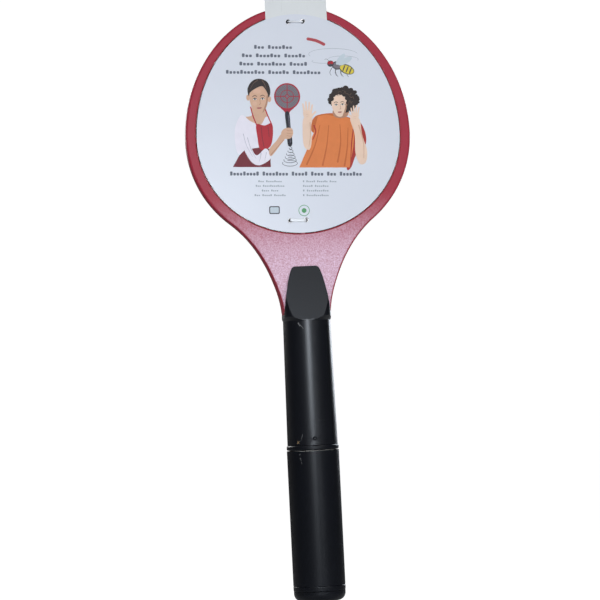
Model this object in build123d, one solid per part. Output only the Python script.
"""Electric fly swatter, a racket-shaped insect killer on two D cells, as separate subcomponents.

Millimetres. The long axis is +Z with the handle's end at Z = 0. The front, which carries the
display card, faces -Y and the controls are on the back, +Y. The origin is the centre of the
handle's flat end.
"""
from build123d import *
import math
import os

# ---- head ---------------------------------------------------------------------------------
HEAD_HALF_WIDTH = 89.2
HEAD_UP = 103.7            # from the widest level to the top
HEAD_DOWN = 87.0           # from the widest level to the bottom of the egg
RIM_SIDE = 7.8             # visible rim width at the sides, at the top and at the bottom
RIM_TOP = 6.0
RIM_BOTTOM = 9.7
FRAME_HALF_DEPTH = 7.5
RIM_EDGE_RADIUS = 1.8
FLANGE = 1.9               # thickness of the lip that holds the grilles
POCKET = 2.4               # how far the grilles reach under the lip
RIB_WIDTH = 3.0
RIB_DEPTH = 1.6
RIB_RING_HALF_WIDTH = 41.0
RIB_DIAMOND = 15.0         # half diagonal of the small diamond at the centre

# ---- fits ---------------------------------------------------------------------------------
FIT = 0.05                 # clearance between pieces that seat in each other
SLIP = 0.4                 # clearance between pieces that slide freely
WALL = 1.9                 # moulded walls

# ---- grilles ------------------------------------------------------------------------------
MESH_PITCH = 8.25          # between parallel wires
WIRE = 1.0
GRILLE_THICK = 0.8
GRILLE_BORDER = 3.3
GRILLE_PLAY = 0.3          # between an outer grille and the lip
LATTICE_X = 1.8            # a wire crossing that sets where the mesh lies
LATTICE_DROP = 12.7        # from the head's top down to that crossing

# ---- battery end --------------------------------------------------------------------------
CELL_RADIUS = 16.7
CELL_HEIGHT = 61.5
CELL_NUB = (4.75, 1.5)     # radius and height of a cell's positive cap
CELL_BASE_Z = 11.0
TUBE_WALL = 1.2
LOCK_RING_HEIGHT = 4.0
COVER_GAP = 0.5            # dark joint between the lock ring and the cover
END_RING_Z = 8.0
COVER_BASE_Z = 12.5
MARK = (1.0, 0.25, 3.0)    # width, depth and height of the engraved index mark
END_CAP_FLOOR = 3.0
END_CAP_EDGE_RADIUS = 6.0
SPRING_WIRE = 0.8
SPRING_BASE_RADIUS = 8.5
SPRING_TOP_RADIUS = 5.0
TUBE_INNER_RADIUS = CELL_RADIUS + SLIP
TUBE_OUTER_RADIUS = TUBE_INNER_RADIUS + TUBE_WALL
COVER_INNER_RADIUS = TUBE_OUTER_RADIUS + SLIP
COVER_OUTER_RADIUS = COVER_INNER_RADIUS + WALL
CELLS_TOP_Z = CELL_BASE_Z + 2 * CELL_HEIGHT
BULKHEAD_Z = CELLS_TOP_Z + 1.0

# ---- handle -------------------------------------------------------------------------------
HANDLE_OVERLAP = 11.0      # how far the cells reach up into the handle
HANDLE_SKIN = 1.55         # handle's wall round the battery tube
HANDLE_TAPER = 1.2         # radius lost from the handle's base to its top
HANDLE_BASE_Z = CELLS_TOP_Z - HANDLE_OVERLAP
HANDLE_BASE_RADIUS = TUBE_OUTER_RADIUS + FIT + HANDLE_SKIN
HANDLE_TOP_RADIUS = HANDLE_BASE_RADIUS - HANDLE_TAPER
COVER_TOP_Z = HANDLE_BASE_Z - LOCK_RING_HEIGHT - COVER_GAP
CAVITY_RADIUS = HANDLE_TOP_RADIUS - WALL
CAVITY_TOP_Z = HANDLE_BASE_Z + 89.0
SEAT_TOP_Z = BULKHEAD_Z + 2.0  # top of the wide bore that takes the battery tube
DIMPLE_Z = HANDLE_BASE_Z + 5.3
DIMPLE_RADIUS = 2.0

# ---- neck ---------------------------------------------------------------------------------
NECK_BASE_Z = HANDLE_BASE_Z + 103.0
HEAD_CENTRE_Z = NECK_BASE_Z + 54.0 + HEAD_DOWN  # widest level of the head
HEAD_TOP_Z = HEAD_CENTRE_Z + HEAD_UP
OPENING_LOW_Z = HEAD_CENTRE_Z - HEAD_DOWN + RIM_BOTTOM
NECK_WAIST = (HANDLE_TOP_RADIUS + 5.8, NECK_BASE_Z + 26.0)
NECK_SHOULDER_Z = HEAD_CENTRE_Z - 67.0
NECK_HALF_DEPTH = FRAME_HALF_DEPTH + 3.5
NECK_THIN_Z = NECK_BASE_Z + 62.0  # level at which the neck has thinned to the rim's depth
NECK_SIDE_WALL = 3.0       # measured across the neck, so thinner where its sides slope
FLARE_HEIGHT = 30.0        # height over which the neck's corners leave the handle's circle
TAIL_HALF_WIDTH = 12.0
TAIL_HALF_DEPTH = FRAME_HALF_DEPTH - 0.5
TAIL_LENGTH = 24.0
LEAD_CHANNEL = 5.0
LEAD_CHAMBER = 14.0        # height of the space where the leads fan out to the grilles

# ---- tongue of the handle over the neck ---------------------------------------------------
TONGUE_TOP_Z = NECK_BASE_Z + 38.0
TONGUE_TIP = HANDLE_TOP_RADIUS - 8.5  # half width of the tip, before its corners are rounded
TONGUE_SIDE = ((HANDLE_TOP_RADIUS - 1.3, NECK_BASE_Z + 8.5), (HANDLE_TOP_RADIUS - 3.1, NECK_BASE_Z + 19.0))
TONGUE_CORNER = 3.5
TONGUE_SECTION_RADIUS = 10.0  # corner radius of the tongue's section, seen from above
TONGUE_FLARE = 5.0         # height over which the round handle becomes that section
TONGUE_PROUD = 0.85        # the tip's height above the neck
THINNING = (NECK_THIN_Z - TONGUE_TOP_Z) / (NECK_THIN_Z - NECK_BASE_Z)
FACET_TOP_Y = -(FRAME_HALF_DEPTH + THINNING * (NECK_HALF_DEPTH - FRAME_HALF_DEPTH) + TONGUE_PROUD)
FACET_LOW = (-HANDLE_TOP_RADIUS - 0.4, NECK_BASE_Z - 6.0)

# ---- controls on the back -----------------------------------------------------------------
BUTTON_Z = HANDLE_BASE_Z + 67.0
BUTTON_RADIUS = 6.0
BUTTON_TOP_Y = HANDLE_TOP_RADIUS + 1.3
BUTTON_FIT = 0.08
LAMP_Z = HANDLE_BASE_Z + 55.0
LAMP_RADIUS = 1.5
SLIDER_Z = HANDLE_BASE_Z + 46.0
SLIDER_TRAVEL = 4.0        # in all, half each way
SLIDER_HALF = (3.0, 2.2)
SPEAKER_Z = HANDLE_BASE_Z + 27.0
SPEAKER_RADIUS = 10.0

# ---- electronics --------------------------------------------------------------------------
BOARD = (24.0, 1.6, 55.0)  # width, thickness, height
BOARD_BASE_Z = HANDLE_BASE_Z + 21.5
LEAD_RADIUS = 0.6
POSITIVE_LEAD_X = -3.0
NEGATIVE_LEAD_X = 9.0
GRID_LEAD_X = 2.5

# ---- shop packing -------------------------------------------------------------------------
CARD_THICK = 0.4
CARD_MARGIN = 0.8          # between the card and the opening
TAB_HALF_WIDTH = 24.4
TAB_CENTRE_X = 2.7
TAB_LOW_Z = HEAD_TOP_Z - 23.7
TAB_RISE = 36.0            # above the head
TAB_THICK = 0.35
HANG_HOLE_RADIUS = 4.0
TIE_WIRE = 1.4
BAND = (0.8, 2.8)          # lower tie: thickness and width
BAND_RISE = 10.8           # from the opening's lowest point to the lower tie
TIE_HOLE_RADIUS = 1.9

# ---- fasteners ----------------------------------------------------------------------------
SCREW_SHANK = 0.8
SCREW_HEAD = 1.6
SCREW_HEAD_HEIGHT = 1.2
SCREW_RECESS = 0.5
SCREW_INSET = 2.1          # from the grilles' pocket to the rim screws
RIM_SCREW_ANGLES = (0.0, 35.0, 145.0, 180.0, 222.0, 318.0)
NECK_SCREWS = ((-22.0, NECK_BASE_Z + 48.0), (22.0, NECK_BASE_Z + 48.0))
TAIL_SCREW_Z = HANDLE_BASE_Z + 91.0
BASE_SCREW_X = HANDLE_TOP_RADIUS - 6.4
BASE_SCREW_Y = HANDLE_TOP_RADIUS - 5.7
BASE_SCREW_Z = HANDLE_BASE_Z + 18.5
BASE_SCREWS = ((-BASE_SCREW_X, BASE_SCREW_Z), (BASE_SCREW_X, BASE_SCREW_Z))

# ---- levels of the grilles and the card ---------------------------------------------------
GRILLE_SEAT = FRAME_HALF_DEPTH - FLANGE
GRILLE_SPACING = GRILLE_SEAT - GRILLE_THICK / 2 - GRILLE_PLAY
MESH_STEP = MESH_PITCH / math.sqrt(2)
LATTICE_Z = HEAD_TOP_Z - LATTICE_DROP
CARD_BACK_Y = -FRAME_HALF_DEPTH - TAB_THICK - 2 * FIT
CARD_FRONT_Y = CARD_BACK_Y - CARD_THICK
REACH = 4 * HEAD_UP        # longer than any feature, for cuts that run right through


def slab(profile, y_front, y_back):
    """Extrude a profile drawn in (X, Z) between two Y levels."""
    return extrude(Plane.XZ.offset(-y_back) * profile, y_back - y_front)


def egg(half_width, up, down):
    """Face of an egg about the head's centre: half an ellipse above it and half below."""
    centre = (0, HEAD_CENTRE_Z)
    upper = EllipticalCenterArc(centre, half_width, up, 0, arc_size=180)
    lower = EllipticalCenterArc(centre, half_width, down, 180, arc_size=180)
    return make_face(Curve() + [upper, lower])


def opening(margin=0.0):
    """Face of the head's opening, grown by a margin."""
    return egg(
        HEAD_HALF_WIDTH - RIM_SIDE + margin,
        HEAD_UP - RIM_TOP + margin,
        HEAD_DOWN - RIM_BOTTOM + margin,
    )


def turned(outline):
    """Solid of revolution about Z from (radius, Z) points joined by straight lines."""
    corners = [(radius, 0, level) for radius, level in outline]
    return revolve(make_face(Polyline(*corners, close=True)), Axis.Z)


def tube(outer, inner, low, high):
    """Round tube about Z."""
    return turned([(inner, low), (outer, low), (outer, high), (inner, high)])


def rod_y(radius, x, z, y_front, y_back):
    """Round rod along Y."""
    return slab(Pos(x, z) * Circle(radius), y_front, y_back)


def block(x_range, y_range, z_range):
    """Box from its limits along each axis."""
    sizes = [high - low for low, high in (x_range, y_range, z_range)]
    middle = [(high + low) / 2 for low, high in (x_range, y_range, z_range)]
    return Pos(*middle) * Box(*sizes)


def level_band(low, high):
    """Everything between two levels."""
    return block((-REACH, REACH), (-REACH, REACH), (low, high))


def half(solid, side):
    """Front (-1) or back (+1) half of a solid, split on the plane Y = 0."""
    return solid & Pos(0, side * REACH, 0) * Box(2 * REACH, 2 * REACH, 6 * REACH)


def route(points, radius, section_radius):
    """Round lead along a path of straight runs with rounded corners."""
    path = FilletPolyline(*points, radius=radius)
    start = Plane(path @ 0, z_dir=path % 0)
    return sweep(start * Circle(section_radius), path=path)


# ---- head -----------------------------------------------------------------------------------


def neck_face():
    """Face of the neck: it flares from the handle into the egg on two mirrored curves."""
    drop = (HEAD_CENTRE_Z - NECK_SHOULDER_Z) / HEAD_DOWN
    level = math.sqrt(1 - drop**2)
    shoulder_x = HEAD_HALF_WIDTH * level
    slope = HEAD_HALF_WIDTH * drop / HEAD_DOWN / level
    base = (HANDLE_TOP_RADIUS, NECK_BASE_Z)
    shoulder = (shoulder_x, NECK_SHOULDER_Z)
    side = Spline(base, NECK_WAIST, shoulder, tangents=((0.05, 1), (slope, 1)))
    other = mirror(side, Plane.YZ)
    top = Line(shoulder, (-shoulder_x, NECK_SHOULDER_Z))
    bottom = Line(base, (-HANDLE_TOP_RADIUS, NECK_BASE_Z))
    return make_face(Curve() + [side, top, other, bottom])


def neck_side_profile(margin=0.0):
    """Side view of the neck, thick at the handle and thinning to the rim, as a wide bar."""
    deep = NECK_HALF_DEPTH + margin
    thin = FRAME_HALF_DEPTH + margin
    corners = [(deep, NECK_BASE_Z), (thin, NECK_THIN_Z), (-thin, NECK_THIN_Z), (-deep, NECK_BASE_Z)]
    side = make_face(Polyline(*corners, close=True))
    return extrude(Plane.YZ.offset(-REACH / 2) * side, REACH)


def neck_envelope():
    """Cone that rounds the neck's corners down to the handle's circle."""
    top = NECK_BASE_Z + FLARE_HEIGHT
    wide = HANDLE_TOP_RADIUS + FLARE_HEIGHT
    return turned([(0, NECK_BASE_Z), (HANDLE_TOP_RADIUS, NECK_BASE_Z), (wide, top), (0, top)])


def tail(margin=0.0):
    """Tongue of the frames that the handle's shells clamp."""
    width = TAIL_HALF_WIDTH + margin
    depth = TAIL_HALF_DEPTH + margin
    low = NECK_BASE_Z - TAIL_LENGTH - margin
    return block((-width, width), (-depth, depth), (low, NECK_BASE_Z + margin))


def frame_blank():
    """Both frame halves as one solid, before they are split and hollowed."""
    head = slab(egg(HEAD_HALF_WIDTH, HEAD_UP, HEAD_DOWN) + neck_face(), -FRAME_HALF_DEPTH, FRAME_HALF_DEPTH)
    flare_top = NECK_BASE_Z + FLARE_HEIGHT
    neck = slab(neck_face(), -NECK_HALF_DEPTH, NECK_HALF_DEPTH) & neck_side_profile()
    foot = neck & level_band(NECK_BASE_Z, flare_top) & neck_envelope()
    upper = (head + neck) & level_band(flare_top, HEAD_TOP_Z + 1)
    return upper + foot + tail()


def neck_hollow():
    """Space inside the neck, a wall in from its outline, clear of the rim, leads and screws."""
    face = (Pos(NECK_SIDE_WALL, 0) * neck_face()) & (Pos(-NECK_SIDE_WALL, 0) * neck_face())
    face -= opening(POCKET + WALL)
    hollow = slab(face, -NECK_HALF_DEPTH, NECK_HALF_DEPTH) & neck_side_profile(-WALL)
    hollow &= level_band(NECK_BASE_Z + NECK_SIDE_WALL, NECK_THIN_Z)
    web = LEAD_CHANNEL + WALL
    hollow -= block((-web, web), (-REACH, REACH), (NECK_BASE_Z, NECK_THIN_Z))
    for x, z in NECK_SCREWS:
        hollow -= rod_y(SCREW_HEAD + WALL, x, z, -REACH, REACH)
    return hollow


def rim_screw_places():
    """(X, Z) of the screws in the rim's outer wall and in the neck."""
    margin = POCKET + SCREW_INSET
    places = []
    for angle in RIM_SCREW_ANGLES:
        turn = math.radians(angle)
        reach = HEAD_UP - RIM_TOP + margin
        if math.sin(turn) < 0:
            reach = HEAD_DOWN - RIM_BOTTOM + margin
        x = (HEAD_HALF_WIDTH - RIM_SIDE + margin) * math.cos(turn)
        places.append((x, HEAD_CENTRE_Z + reach * math.sin(turn)))
    return places + list(NECK_SCREWS)


def screw(x, z, y_head, length, margin=0.0):
    """Screw along Y with its head at the back. A margin makes it the hole, open to the back."""
    y_top = y_head + 10.0 if margin else y_head
    head = rod_y(SCREW_HEAD + margin, x, z, y_head - SCREW_HEAD_HEIGHT, y_top)
    shank = rod_y(SCREW_SHANK + margin, x, z, y_head - length, y_head - SCREW_HEAD_HEIGHT)
    return head + shank


def rim_screws(margin=0.0):
    """Screws that hold the two frames together."""
    length = 2 * FRAME_HALF_DEPTH - 4.0
    screws = []
    for x, z in rim_screw_places():
        depth = FRAME_HALF_DEPTH
        if (x, z) in NECK_SCREWS:
            share = (NECK_THIN_Z - z) / (NECK_THIN_Z - NECK_BASE_Z)
            depth += share * (NECK_HALF_DEPTH - FRAME_HALF_DEPTH)
        screws.append(screw(x, z, depth - SCREW_RECESS, length, margin))
    return screws


def ribs(side):
    """Guard ribs across the opening: a cross, a ring and a small diamond, flush with the lip."""
    ring_up = RIB_RING_HALF_WIDTH * (HEAD_UP - RIM_TOP) / (HEAD_HALF_WIDTH - RIM_SIDE)
    ring_down = RIB_RING_HALF_WIDTH * (HEAD_DOWN - RIM_BOTTOM) / (HEAD_HALF_WIDTH - RIM_SIDE)
    ring = egg(RIB_RING_HALF_WIDTH + RIB_WIDTH, ring_up + RIB_WIDTH, ring_down + RIB_WIDTH)
    ring -= egg(RIB_RING_HALF_WIDTH, ring_up, ring_down)
    centre = Pos(0, HEAD_CENTRE_Z)
    cross = centre * Rectangle(RIB_WIDTH, 4 * HEAD_HALF_WIDTH)
    cross += centre * Rectangle(4 * HEAD_HALF_WIDTH, RIB_WIDTH)
    outer = 2 * RIB_DIAMOND / math.sqrt(2)
    diamond = Rot(0, 0, 45) * Rectangle(outer, outer)
    diamond -= Rot(0, 0, 45) * Rectangle(outer - 2 * RIB_WIDTH, outer - 2 * RIB_WIDTH)
    cross -= centre * Rot(0, 0, 45) * Rectangle(outer - RIB_WIDTH, outer - RIB_WIDTH)
    face = (ring + cross + centre * diamond) & opening(RIB_WIDTH)
    inner = side * GRILLE_SEAT
    outer_level = side * (GRILLE_SEAT + RIB_DEPTH)
    return slab(face, min(inner, outer_level), max(inner, outer_level))


def frame(side):
    """One frame half, front (-1) or back (+1), with its lip, pocket, ribs and lead channel."""
    solid = half(frame_blank(), side)
    rim_level = side * FRAME_HALF_DEPTH
    edge = [
        e
        for e in solid.edges().filter_by(Plane.XZ)
        if abs(e.center().Y - rim_level) < 0.01 and e.length > 100
    ]
    solid = fillet(edge, RIM_EDGE_RADIUS)
    solid -= slab(opening(), -REACH, REACH)
    solid -= slab(opening(POCKET), -GRILLE_SEAT, GRILLE_SEAT)
    solid -= neck_hollow()
    solid += ribs(side)
    channel = (-LEAD_CHANNEL, LEAD_CHANNEL)
    narrow = (-LEAD_CHANNEL / 2, LEAD_CHANNEL / 2)
    wide = (-GRILLE_SEAT, GRILLE_SEAT)
    solid -= block(channel, narrow, (NECK_BASE_Z - TAIL_LENGTH - 1, OPENING_LOW_Z))
    solid -= block(channel, wide, (OPENING_LOW_Z - LEAD_CHAMBER, OPENING_LOW_Z))
    for hole in rim_screws(FIT):
        solid -= hole
    solid -= screw(0, TAIL_SCREW_Z, 2 * HANDLE_TOP_RADIUS, 4 * HANDLE_TOP_RADIUS, FIT)
    return solid


def lattice(shift):
    """Face of a diamond mesh inside a border ring. The shift is in half mesh steps along X."""
    border = opening(POCKET - FIT)
    window = opening(POCKET - FIT - GRILLE_BORDER)
    span = 2.4 * HEAD_UP
    count = int(span / MESH_PITCH)
    origin = Pos(LATTICE_X + shift * MESH_STEP, LATTICE_Z)
    bars = Sketch()
    for turn in (45, -45):
        run = [
            origin * Rot(0, 0, turn) * Pos(step * MESH_PITCH, 0) * Rectangle(WIRE, 4 * HEAD_UP)
            for step in range(-count, count)
        ]
        bars += run
    return (bars & window) + (border - window)


def grille(level, shift):
    """Flat mesh grille at a Y level."""
    return slab(lattice(shift), level - GRILLE_THICK / 2, level + GRILLE_THICK / 2)


def spacer(side):
    """Insulating ring that keeps two grilles apart."""
    face = opening(POCKET - FIT) - opening(0.3)
    near = GRILLE_THICK / 2 + FIT
    far = GRILLE_SPACING - GRILLE_THICK / 2 - FIT
    return slab(face, min(side * near, side * far), max(side * near, side * far))


# ---- handle -----------------------------------------------------------------------------------


def tongue():
    """Tongue over the neck: its front outline run through a rounded square section."""
    foot = NECK_BASE_Z - TONGUE_FLARE
    low = (HANDLE_TOP_RADIUS, foot)
    tip = (TONGUE_TIP, TONGUE_TOP_Z)
    side = Spline(low, *TONGUE_SIDE, tip, tangents=((0, 1), (-0.5, 1)))
    edges = [side, Line(tip, (-TONGUE_TIP, TONGUE_TOP_Z)), mirror(side, Plane.YZ)]
    outline = make_face(Curve() + edges + [Line(low, (-HANDLE_TOP_RADIUS, foot))])
    corners = outline.vertices().group_by(Axis.Y)[-1]
    outline = fillet(corners, TONGUE_CORNER)
    width = 2 * HANDLE_TOP_RADIUS
    section = extrude(RectangleRounded(width, width, TONGUE_SECTION_RADIUS), TONGUE_TOP_Z)
    wide = HANDLE_TOP_RADIUS + TONGUE_TOP_Z - foot
    flare = turned([(0, foot), (HANDLE_TOP_RADIUS, foot), (wide, TONGUE_TOP_Z), (0, TONGUE_TOP_Z)])
    return slab(outline, -width, width) & section & flare


def handle_blank():
    """Outside of the upper handle: a slight taper that ends in the tongue."""
    barrel = turned(
        [
            (0, HANDLE_BASE_Z),
            (HANDLE_BASE_RADIUS, HANDLE_BASE_Z),
            (HANDLE_TOP_RADIUS, NECK_BASE_Z),
            (0, NECK_BASE_Z),
        ]
    )
    return barrel + tongue()


def facet_cut(side):
    """Wedge outside the flat facet that slopes up the tongue."""
    low_y, low_z = FACET_LOW
    slope = (FACET_TOP_Y - low_y) / (TONGUE_TOP_Z - low_z)
    reach = 12.0
    top_y = FACET_TOP_Y + slope * reach
    bottom_y = low_y - slope * reach
    corners = [
        (side * -top_y, TONGUE_TOP_Z + reach),
        (side * -bottom_y, low_z - reach),
        (side * 40, low_z - reach),
        (side * 40, TONGUE_TOP_Z + reach),
    ]
    return extrude(Plane.YZ.offset(-40) * make_face(Polyline(*corners, close=True)), 80)


def handle_cavity():
    """Inside of the handle: the wide seat of the battery tube and the electronics bay."""
    seat = TUBE_OUTER_RADIUS + FIT
    bay = CAVITY_RADIUS
    return turned(
        [
            (0, HANDLE_BASE_Z - 1),
            (seat, HANDLE_BASE_Z - 1),
            (seat, SEAT_TOP_Z),
            (bay, SEAT_TOP_Z),
            (bay, CAVITY_TOP_Z),
            (0, CAVITY_TOP_Z),
        ]
    )


def screw_posts():
    """Posts that the handle's base screws pass through."""
    posts = Part()
    for x, z in BASE_SCREWS:
        posts += rod_y(SCREW_SHANK + 1.3, x, z, -BASE_SCREW_Y - 1, BASE_SCREW_Y + 1)
    return posts & tube(HANDLE_TOP_RADIUS + 0.3, 0, SEAT_TOP_Z, SPEAKER_Z)


def handle_half(side):
    """One handle shell before its own holes."""
    solid = handle_blank() - handle_cavity() + (screw_posts() & handle_blank())
    solid -= facet_cut(-1)
    solid -= facet_cut(1)
    solid -= neck_side_profile(FIT)
    solid -= tail(FIT)
    solid = half(solid, side)
    for hole in handle_screws(FIT):
        solid -= hole
    return solid


def handle_screws(margin=0.0):
    """Screws that close the handle: one through the tail and two through the posts."""
    screws = [screw(0, TAIL_SCREW_Z, HANDLE_TOP_RADIUS - 1.5, 2 * HANDLE_TOP_RADIUS - 6, margin)]
    for x, z in BASE_SCREWS:
        screws.append(screw(x, z, BASE_SCREW_Y, 2 * BASE_SCREW_Y - 2.0, margin))
    return screws


def access_holes():
    """Recesses that lead the screwdriver to the handle's screws."""
    holes = [rod_y(SCREW_HEAD + 0.5, 0, TAIL_SCREW_Z, HANDLE_TOP_RADIUS - 1.5, 30)]
    for x, z in BASE_SCREWS:
        holes.append(rod_y(SCREW_HEAD + 0.5, x, z, BASE_SCREW_Y, 30))
    return holes


def front_handle_shell():
    """Front shell with the locating dimple above the joint."""
    surface = -HANDLE_BASE_RADIUS
    dimple = Pos(0, surface - DIMPLE_RADIUS / 2, DIMPLE_Z) * Sphere(DIMPLE_RADIUS)
    return handle_half(-1) - dimple


def back_handle_shell():
    """Back shell with the button's guide, the slider's slot, the lamp hole and sound slots."""
    solid = handle_half(1)
    guide = rod_y(BUTTON_RADIUS + BUTTON_FIT + 1.4, 0, BUTTON_Z, 12.0, HANDLE_TOP_RADIUS) & handle_blank()
    solid += guide
    solid -= rod_y(BUTTON_RADIUS + BUTTON_FIT, 0, BUTTON_Z, 11.0, 30)
    slot_x = SLIDER_HALF[0] + 0.1
    slot_z = SLIDER_HALF[1] + SLIDER_TRAVEL / 2 + 0.15
    solid -= block((-slot_x, slot_x), (10, 30), (SLIDER_Z - slot_z, SLIDER_Z + slot_z))
    solid -= rod_y(LAMP_RADIUS + FIT, 0, LAMP_Z, 10, 30)
    for row in range(-2, 3):
        reach = 6.5 - abs(row)
        level = SPEAKER_Z + row * 3.0
        solid -= block((-reach, reach), (10, 30), (level - 0.6, level + 0.6))
    for hole in access_holes():
        solid -= hole
    return solid


def power_button():
    """Round push button: cap, keeper flange and stem."""
    cap = rod_y(BUTTON_RADIUS, 0, BUTTON_Z, 10.3, BUTTON_TOP_Y)
    cap = fillet(cap.edges().sort_by(Axis.Y)[-1], 1.0)
    flange = rod_y(BUTTON_RADIUS + 1.1, 0, BUTTON_Z, 9.8, 11.4)
    stem = rod_y(2.2, 0, BUTTON_Z, 6.05, 9.8)
    return cap + flange + stem


def button_switch():
    """Body of the push switch on the board, with a bore for its plunger."""
    body = block((-3, 3), (0, 4.5), (BUTTON_Z - 3, BUTTON_Z + 3))
    return body - rod_y(1.75, 0, BUTTON_Z, 1.0, 5.0)


def button_plunger():
    """Plunger of the push switch."""
    return rod_y(1.7, 0, BUTTON_Z, 2.6, 6.0)


def mode_knob():
    """Ribbed slider with its keeper plate and the stem that moves the switch."""
    half_x, half_z = SLIDER_HALF
    knob = block((-half_x, half_x), (12.6, BUTTON_TOP_Y), (SLIDER_Z - half_z, SLIDER_Z + half_z))
    for step in (-1, 0, 1):
        level = SLIDER_Z + step * 1.3
        top = (BUTTON_TOP_Y - 0.5, BUTTON_TOP_Y + 1)
        knob -= block((-half_x - 1, half_x + 1), top, (level - 0.25, level + 0.25))
    plate = block((-4.6, 4.6), (11.8, 13.0), (SLIDER_Z - 3.6, SLIDER_Z + 3.6))
    stem = block((-1.0, 1.0), (4.4, 11.8), (SLIDER_Z - 1.0, SLIDER_Z + 1.0))
    return knob + plate + stem


def mode_switch():
    """Body of the slide switch on the board."""
    return block((-3.5, 3.5), (0, 4.0), (SLIDER_Z - 5.5, SLIDER_Z + 5.5))


def lamp_lens():
    """Light pipe of the indicator."""
    pipe = rod_y(LAMP_RADIUS, 0, LAMP_Z, 5.6, HANDLE_TOP_RADIUS + 0.5)
    return fillet(pipe.edges().sort_by(Axis.Y)[-1], 0.6)


def indicator_lamp():
    """Indicator lamp on the board, under its light pipe."""
    return rod_y(LAMP_RADIUS, 0, LAMP_Z, 0, 5.5)


# ---- battery end ---------------------------------------------------------------------------------


def battery_tube():
    """Tube that holds the cells, with a groove for the negative strip."""
    body = tube(TUBE_OUTER_RADIUS, TUBE_INNER_RADIUS, CELL_BASE_Z + 1, CELLS_TOP_Z + 0.9)
    return body - block((10, 30), (-2.3, 2.3), (0, CELLS_TOP_Z + 5))


def negative_strip():
    """Metal strip in the tube's groove, with a finger that turns in under the bulkhead."""
    x = TUBE_INNER_RADIUS + 0.2
    top = BULKHEAD_Z - FIT
    upright = block((x, x + 0.5), (-2, 2), (CELL_BASE_Z + 1, top))
    return upright + block((NEGATIVE_LEAD_X - 1.5, x + 0.5), (-2, 2), (top - 0.5, top))


def bulkhead():
    """Disc between the cells and the electronics, with a hole for each battery lead."""
    disc = tube(TUBE_OUTER_RADIUS, 0, BULKHEAD_Z, SEAT_TOP_Z - FIT)
    for x in (POSITIVE_LEAD_X, NEGATIVE_LEAD_X):
        disc -= Pos(x, 0, BULKHEAD_Z) * Cylinder(LEAD_RADIUS + 0.3, 10)
    return disc


def positive_contact():
    """Contact plate under the bulkhead, against the upper cell's cap."""
    return tube(CELL_NUB[0] + 0.5, 0, CELLS_TOP_Z + FIT, BULKHEAD_Z - FIT)


def cell(base):
    """D cell with its positive cap upwards."""
    radius, height = CELL_NUB
    can = tube(CELL_RADIUS, 0, base, base + CELL_HEIGHT - height)
    can = fillet(can.edges(), 0.8)
    return can + tube(radius, 0, base + CELL_HEIGHT - height - 0.5, base + CELL_HEIGHT - FIT)


def lock_ring():
    """Rounded ring at the joint, which turns on the battery tube."""
    low = HANDLE_BASE_Z - LOCK_RING_HEIGHT
    high = HANDLE_BASE_Z - 2 * FIT
    ring = tube(COVER_OUTER_RADIUS, TUBE_OUTER_RADIUS + 0.08, low, high)
    outer = ring.edges().filter_by(lambda e: e.length > 2 * math.pi * (COVER_OUTER_RADIUS - 0.5))
    return fillet(outer, 1.2)


def battery_cover():
    """Sleeve over the cells, with an index mark engraved at its top edge."""
    sleeve = tube(COVER_OUTER_RADIUS, COVER_INNER_RADIUS, COVER_BASE_Z, COVER_TOP_Z)
    width, depth, height = MARK
    bottom = depth - COVER_OUTER_RADIUS
    return sleeve - block((-width / 2, width / 2), (bottom - 2, bottom), (COVER_TOP_Z - height, COVER_TOP_Z))


def end_ring():
    """Rounded trim ring between the cover and the end cap."""
    ring = tube(COVER_OUTER_RADIUS, COVER_INNER_RADIUS, END_RING_Z, COVER_BASE_Z)
    outer = ring.edges().filter_by(lambda e: e.length > 2 * math.pi * (COVER_OUTER_RADIUS - 0.5))
    return fillet(outer, 1.0)


def end_cap():
    """Rounded end of the handle, with a seat for the spring."""
    cap = tube(COVER_OUTER_RADIUS - 0.2, 0, 0, END_RING_Z)
    cap = fillet(cap.edges().sort_by(Axis.Z)[0], END_CAP_EDGE_RADIUS)
    return cap - tube(SPRING_BASE_RADIUS + 2.0, 0, END_CAP_FLOOR, END_RING_Z + 1)


def cover_spring():
    """Conical spring that presses the cells upwards."""
    height = CELL_BASE_Z - END_CAP_FLOOR - 3 * SPRING_WIRE / 2
    slope = math.degrees(math.atan((SPRING_BASE_RADIUS - SPRING_TOP_RADIUS) / height))
    base = END_CAP_FLOOR + SPRING_WIRE / 2 + FIT
    coil = Helix(height / 3, height, SPRING_BASE_RADIUS, center=(0, 0, base), cone_angle=-slope)
    start = Plane(coil @ 0, z_dir=coil % 0)
    return sweep(start * Circle(SPRING_WIRE / 2), path=coil, is_frenet=True)


# ---- electronics -----------------------------------------------------------------------------------


def circuit_board():
    """Board behind the handle's middle plane, with the controls soldered to its back."""
    width, thickness, height = BOARD
    return block((-width / 2, width / 2), (-thickness, 0), (BOARD_BASE_Z, BOARD_BASE_Z + height))


def transformer():
    """Step-up transformer: a core round a wound bobbin."""
    front = -BOARD[1] - 12.0
    level = BOARD_BASE_Z + 15.0
    core = block((-8, 8), (front + 2, -BOARD[1] - 2), (level - 7, level + 7))
    bobbin = block((-5, 5), (front, -BOARD[1]), (level - 8.5, level + 8.5))
    return core + bobbin


def storage_capacitor():
    """High-voltage film capacitor."""
    level = BOARD_BASE_Z + 33.0
    body = block((-9, 9), (-BOARD[1] - 8.0, -BOARD[1]), (level - 4, level + 4))
    return fillet(body.edges().filter_by(Axis.Z), 1.0)


def rectifier_diodes():
    """Three diodes of the voltage multiplier."""
    level = BOARD_BASE_Z + 46.0
    y = -BOARD[1] - 1.4
    return [Pos(x, y, level) * Cylinder(1.35, 5.2) for x in (-6.0, 0.0, 6.0)]


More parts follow.
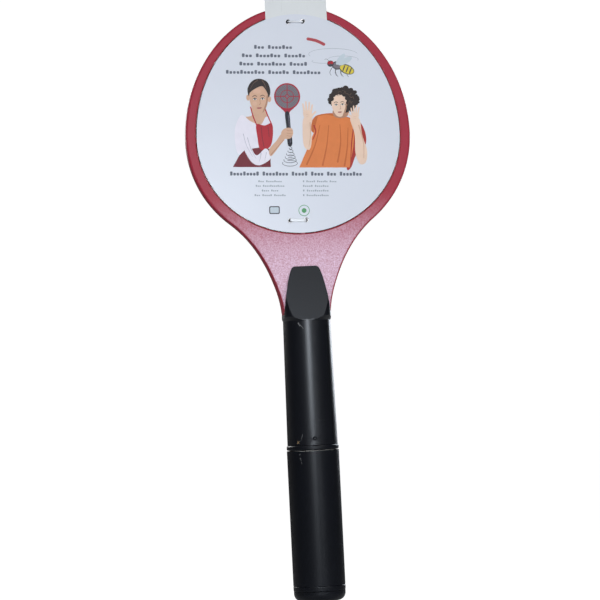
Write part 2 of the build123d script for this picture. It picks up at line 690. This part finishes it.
def sound_chip():
    """Sound chip on the board, under a black drop of resin."""
    drop = Pos(8.0, 0, BUTTON_Z) * Sphere(4.0)
    return drop & block((0, 12), (0, 1.6), (BUTTON_Z - 5, BUTTON_Z + 5))


def speaker():
    """Small speaker that faces the sound slots."""
    return rod_y(SPEAKER_RADIUS, 0, SPEAKER_Z, 9.0, 12.5)


def speaker_magnet():
    """Magnet on the back of the speaker."""
    return rod_y(5.0, 0, SPEAKER_Z, 5.5, 9.0)


def battery_lead(x):
    """Lead from a contact under the bulkhead to the board's lower edge."""
    edge = -BOARD[1] / 2
    top = BOARD_BASE_Z - FIT
    points = [(x, 0, BULKHEAD_Z), (x, 0, top - 6.0), (x, edge, top - 3.0), (x, edge, top)]
    return route(points, 2.5, LEAD_RADIUS)


def grid_lead(x, y_end):
    """High-voltage lead from the board, through the neck's channel, to a grille's lower edge."""
    top = OPENING_LOW_Z - POCKET
    board_top = BOARD_BASE_Z + BOARD[2] + FIT
    edge = -BOARD[1] / 2
    points = [
        (x, edge, board_top),
        (x, edge, board_top + 14),
        (x * 0.9, 0.3, board_top + 46),
        (x * 1.1, y_end * 0.1, top - 12),
        (x * 1.4, y_end, top - 5),
        (x * 1.4, y_end, top),
    ]
    return route(points, (20.0, 20.0, 6.0, 3.0), LEAD_RADIUS)


def grille_link():
    """Wire that joins the front and back grilles under the inner one."""
    top = OPENING_LOW_Z - POCKET
    points = [
        (0, -GRILLE_SPACING, top),
        (0, -GRILLE_SPACING, top - 4),
        (0, GRILLE_SPACING, top - 4),
        (0, GRILLE_SPACING, top),
    ]
    return route(points, 2.5, LEAD_RADIUS)


def speaker_lead(x):
    """Lead from the board to the speaker's magnet."""
    low = SPEAKER_Z - 2.5
    points = [(x, FIT, low), (x, 2.0, low), (x, 3.6, low + 2.0), (x, 5.5 - FIT, low + 2.0)]
    return route(points, 0.9, LEAD_RADIUS / 1.5)


# ---- shop packing -----------------------------------------------------------------------------------


def upper_tie_places():
    """X of the two legs of the wire tie, and its height."""
    return LATTICE_X - MESH_STEP, LATTICE_X + MESH_STEP, LATTICE_Z


def lower_tie_places():
    """X of the two legs of the band tie, and its height: the odd row nearest to its rise."""
    drop = LATTICE_Z - OPENING_LOW_Z - BAND_RISE
    odd_rows = 2 * round((drop / MESH_STEP - 1) / 2) + 1
    right = RIB_WIDTH / 2 + 2 * SLIP + BAND[0] / 2
    return LATTICE_X - 2 * MESH_STEP, right, LATTICE_Z - odd_rows * MESH_STEP


def tie_holes(places):
    """Round holes for a tie's two legs."""
    left, right, level = places
    return Pos(left, level) * Circle(TIE_HOLE_RADIUS) + Pos(right, level) * Circle(TIE_HOLE_RADIUS)


def display_card():
    """Oval card in the head's opening."""
    face = opening(-CARD_MARGIN)
    face -= tie_holes(upper_tie_places())
    face -= tie_holes(lower_tie_places())
    return slab(face, CARD_FRONT_Y, CARD_BACK_Y)


def hang_tab():
    """Strip behind the card's top that carries the pack on a shop's hook."""
    top = HEAD_TOP_Z + TAB_RISE
    middle = Pos(TAB_CENTRE_X, (top + TAB_LOW_Z) / 2)
    face = middle * RectangleRounded(2 * TAB_HALF_WIDTH, top - TAB_LOW_Z, 5.0)
    face -= Pos(TAB_CENTRE_X, top - 12.0) * Circle(HANG_HOLE_RADIUS)
    face -= tie_holes(upper_tie_places())
    back = -FRAME_HALF_DEPTH - FIT
    return slab(face, back - TAB_THICK, back)


def tie_loop(places, thickness, width):
    """Flat closed loop that holds the card against the mesh and the ribs."""
    left, right, level = places
    front = CARD_FRONT_Y - FIT - thickness
    back = -GRILLE_SPACING + GRILLE_THICK / 2 + 2 * SLIP + thickness
    middle = ((left + right) / 2, (front + back) / 2)
    span = right - left + thickness
    depth = back - front
    outer = Pos(*middle) * RectangleRounded(span, depth, 1.0)
    inner = Pos(*middle) * RectangleRounded(span - 2 * thickness, depth - 2 * thickness, 0.3)
    return Pos(0, 0, level - width / 2) * extrude(outer - inner, width)


# ---- nodes -------------------------------------------------------------------------------------------

NODES = {
    "front_frame": frame(-1),
    "back_frame": frame(1),
    "front_grille": grille(-GRILLE_SPACING, 0),
    "inner_grille": grille(0, 1),
    "back_grille": grille(GRILLE_SPACING, 0),
    "front_spacer": spacer(-1),
    "back_spacer": spacer(1),
    "frame_screws": rim_screws(),
    "front_handle_shell": front_handle_shell(),
    "back_handle_shell": back_handle_shell(),
    "handle_screws": handle_screws(),
    "power_button": power_button(),
    "button_switch": button_switch(),
    "button_plunger": button_plunger(),
    "mode_knob": mode_knob(),
    "mode_switch": mode_switch(),
    "lamp_lens": lamp_lens(),
    "indicator_lamp": indicator_lamp(),
    "battery_tube": battery_tube(),
    "negative_strip": negative_strip(),
    "bulkhead": bulkhead(),
    "positive_contact": positive_contact(),
    "upper_cell": cell(CELL_BASE_Z + CELL_HEIGHT),
    "lower_cell": cell(CELL_BASE_Z),
    "lock_ring": lock_ring(),
    "battery_cover": battery_cover(),
    "end_ring": end_ring(),
    "end_cap": end_cap(),
    "cover_spring": cover_spring(),
    "circuit_board": circuit_board(),
    "transformer": transformer(),
    "storage_capacitor": storage_capacitor(),
    "rectifier_diodes": rectifier_diodes(),
    "sound_chip": sound_chip(),
    "speaker": speaker(),
    "speaker_magnet": speaker_magnet(),
    "positive_lead": battery_lead(POSITIVE_LEAD_X),
    "negative_lead": battery_lead(NEGATIVE_LEAD_X),
    "inner_grid_lead": grid_lead(GRID_LEAD_X, 0),
    "outer_grid_lead": grid_lead(-GRID_LEAD_X, -GRILLE_SPACING),
    "grille_link": grille_link(),
    "speaker_lead_left": speaker_lead(-3.0),
    "speaker_lead_right": speaker_lead(3.0),
    "display_card": display_card(),
    "hang_tab": hang_tab(),
    "upper_tie": tie_loop(upper_tie_places(), TIE_WIRE, TIE_WIRE),
    "lower_tie": tie_loop(lower_tie_places(), *BAND),
}


def solids_of(piece):
    """The solids of a node as one compound, or the single solid itself."""
    pieces = piece if isinstance(piece, list) else [piece]
    solids = [solid for part in pieces for solid in part.solids()]
    if len(solids) == 1:
        return solids[0]
    return Compound(children=solids)


os.makedirs("parts", exist_ok=True)
for name, piece in NODES.items():
    export_step(solids_of(piece), f"parts/{name}.step")
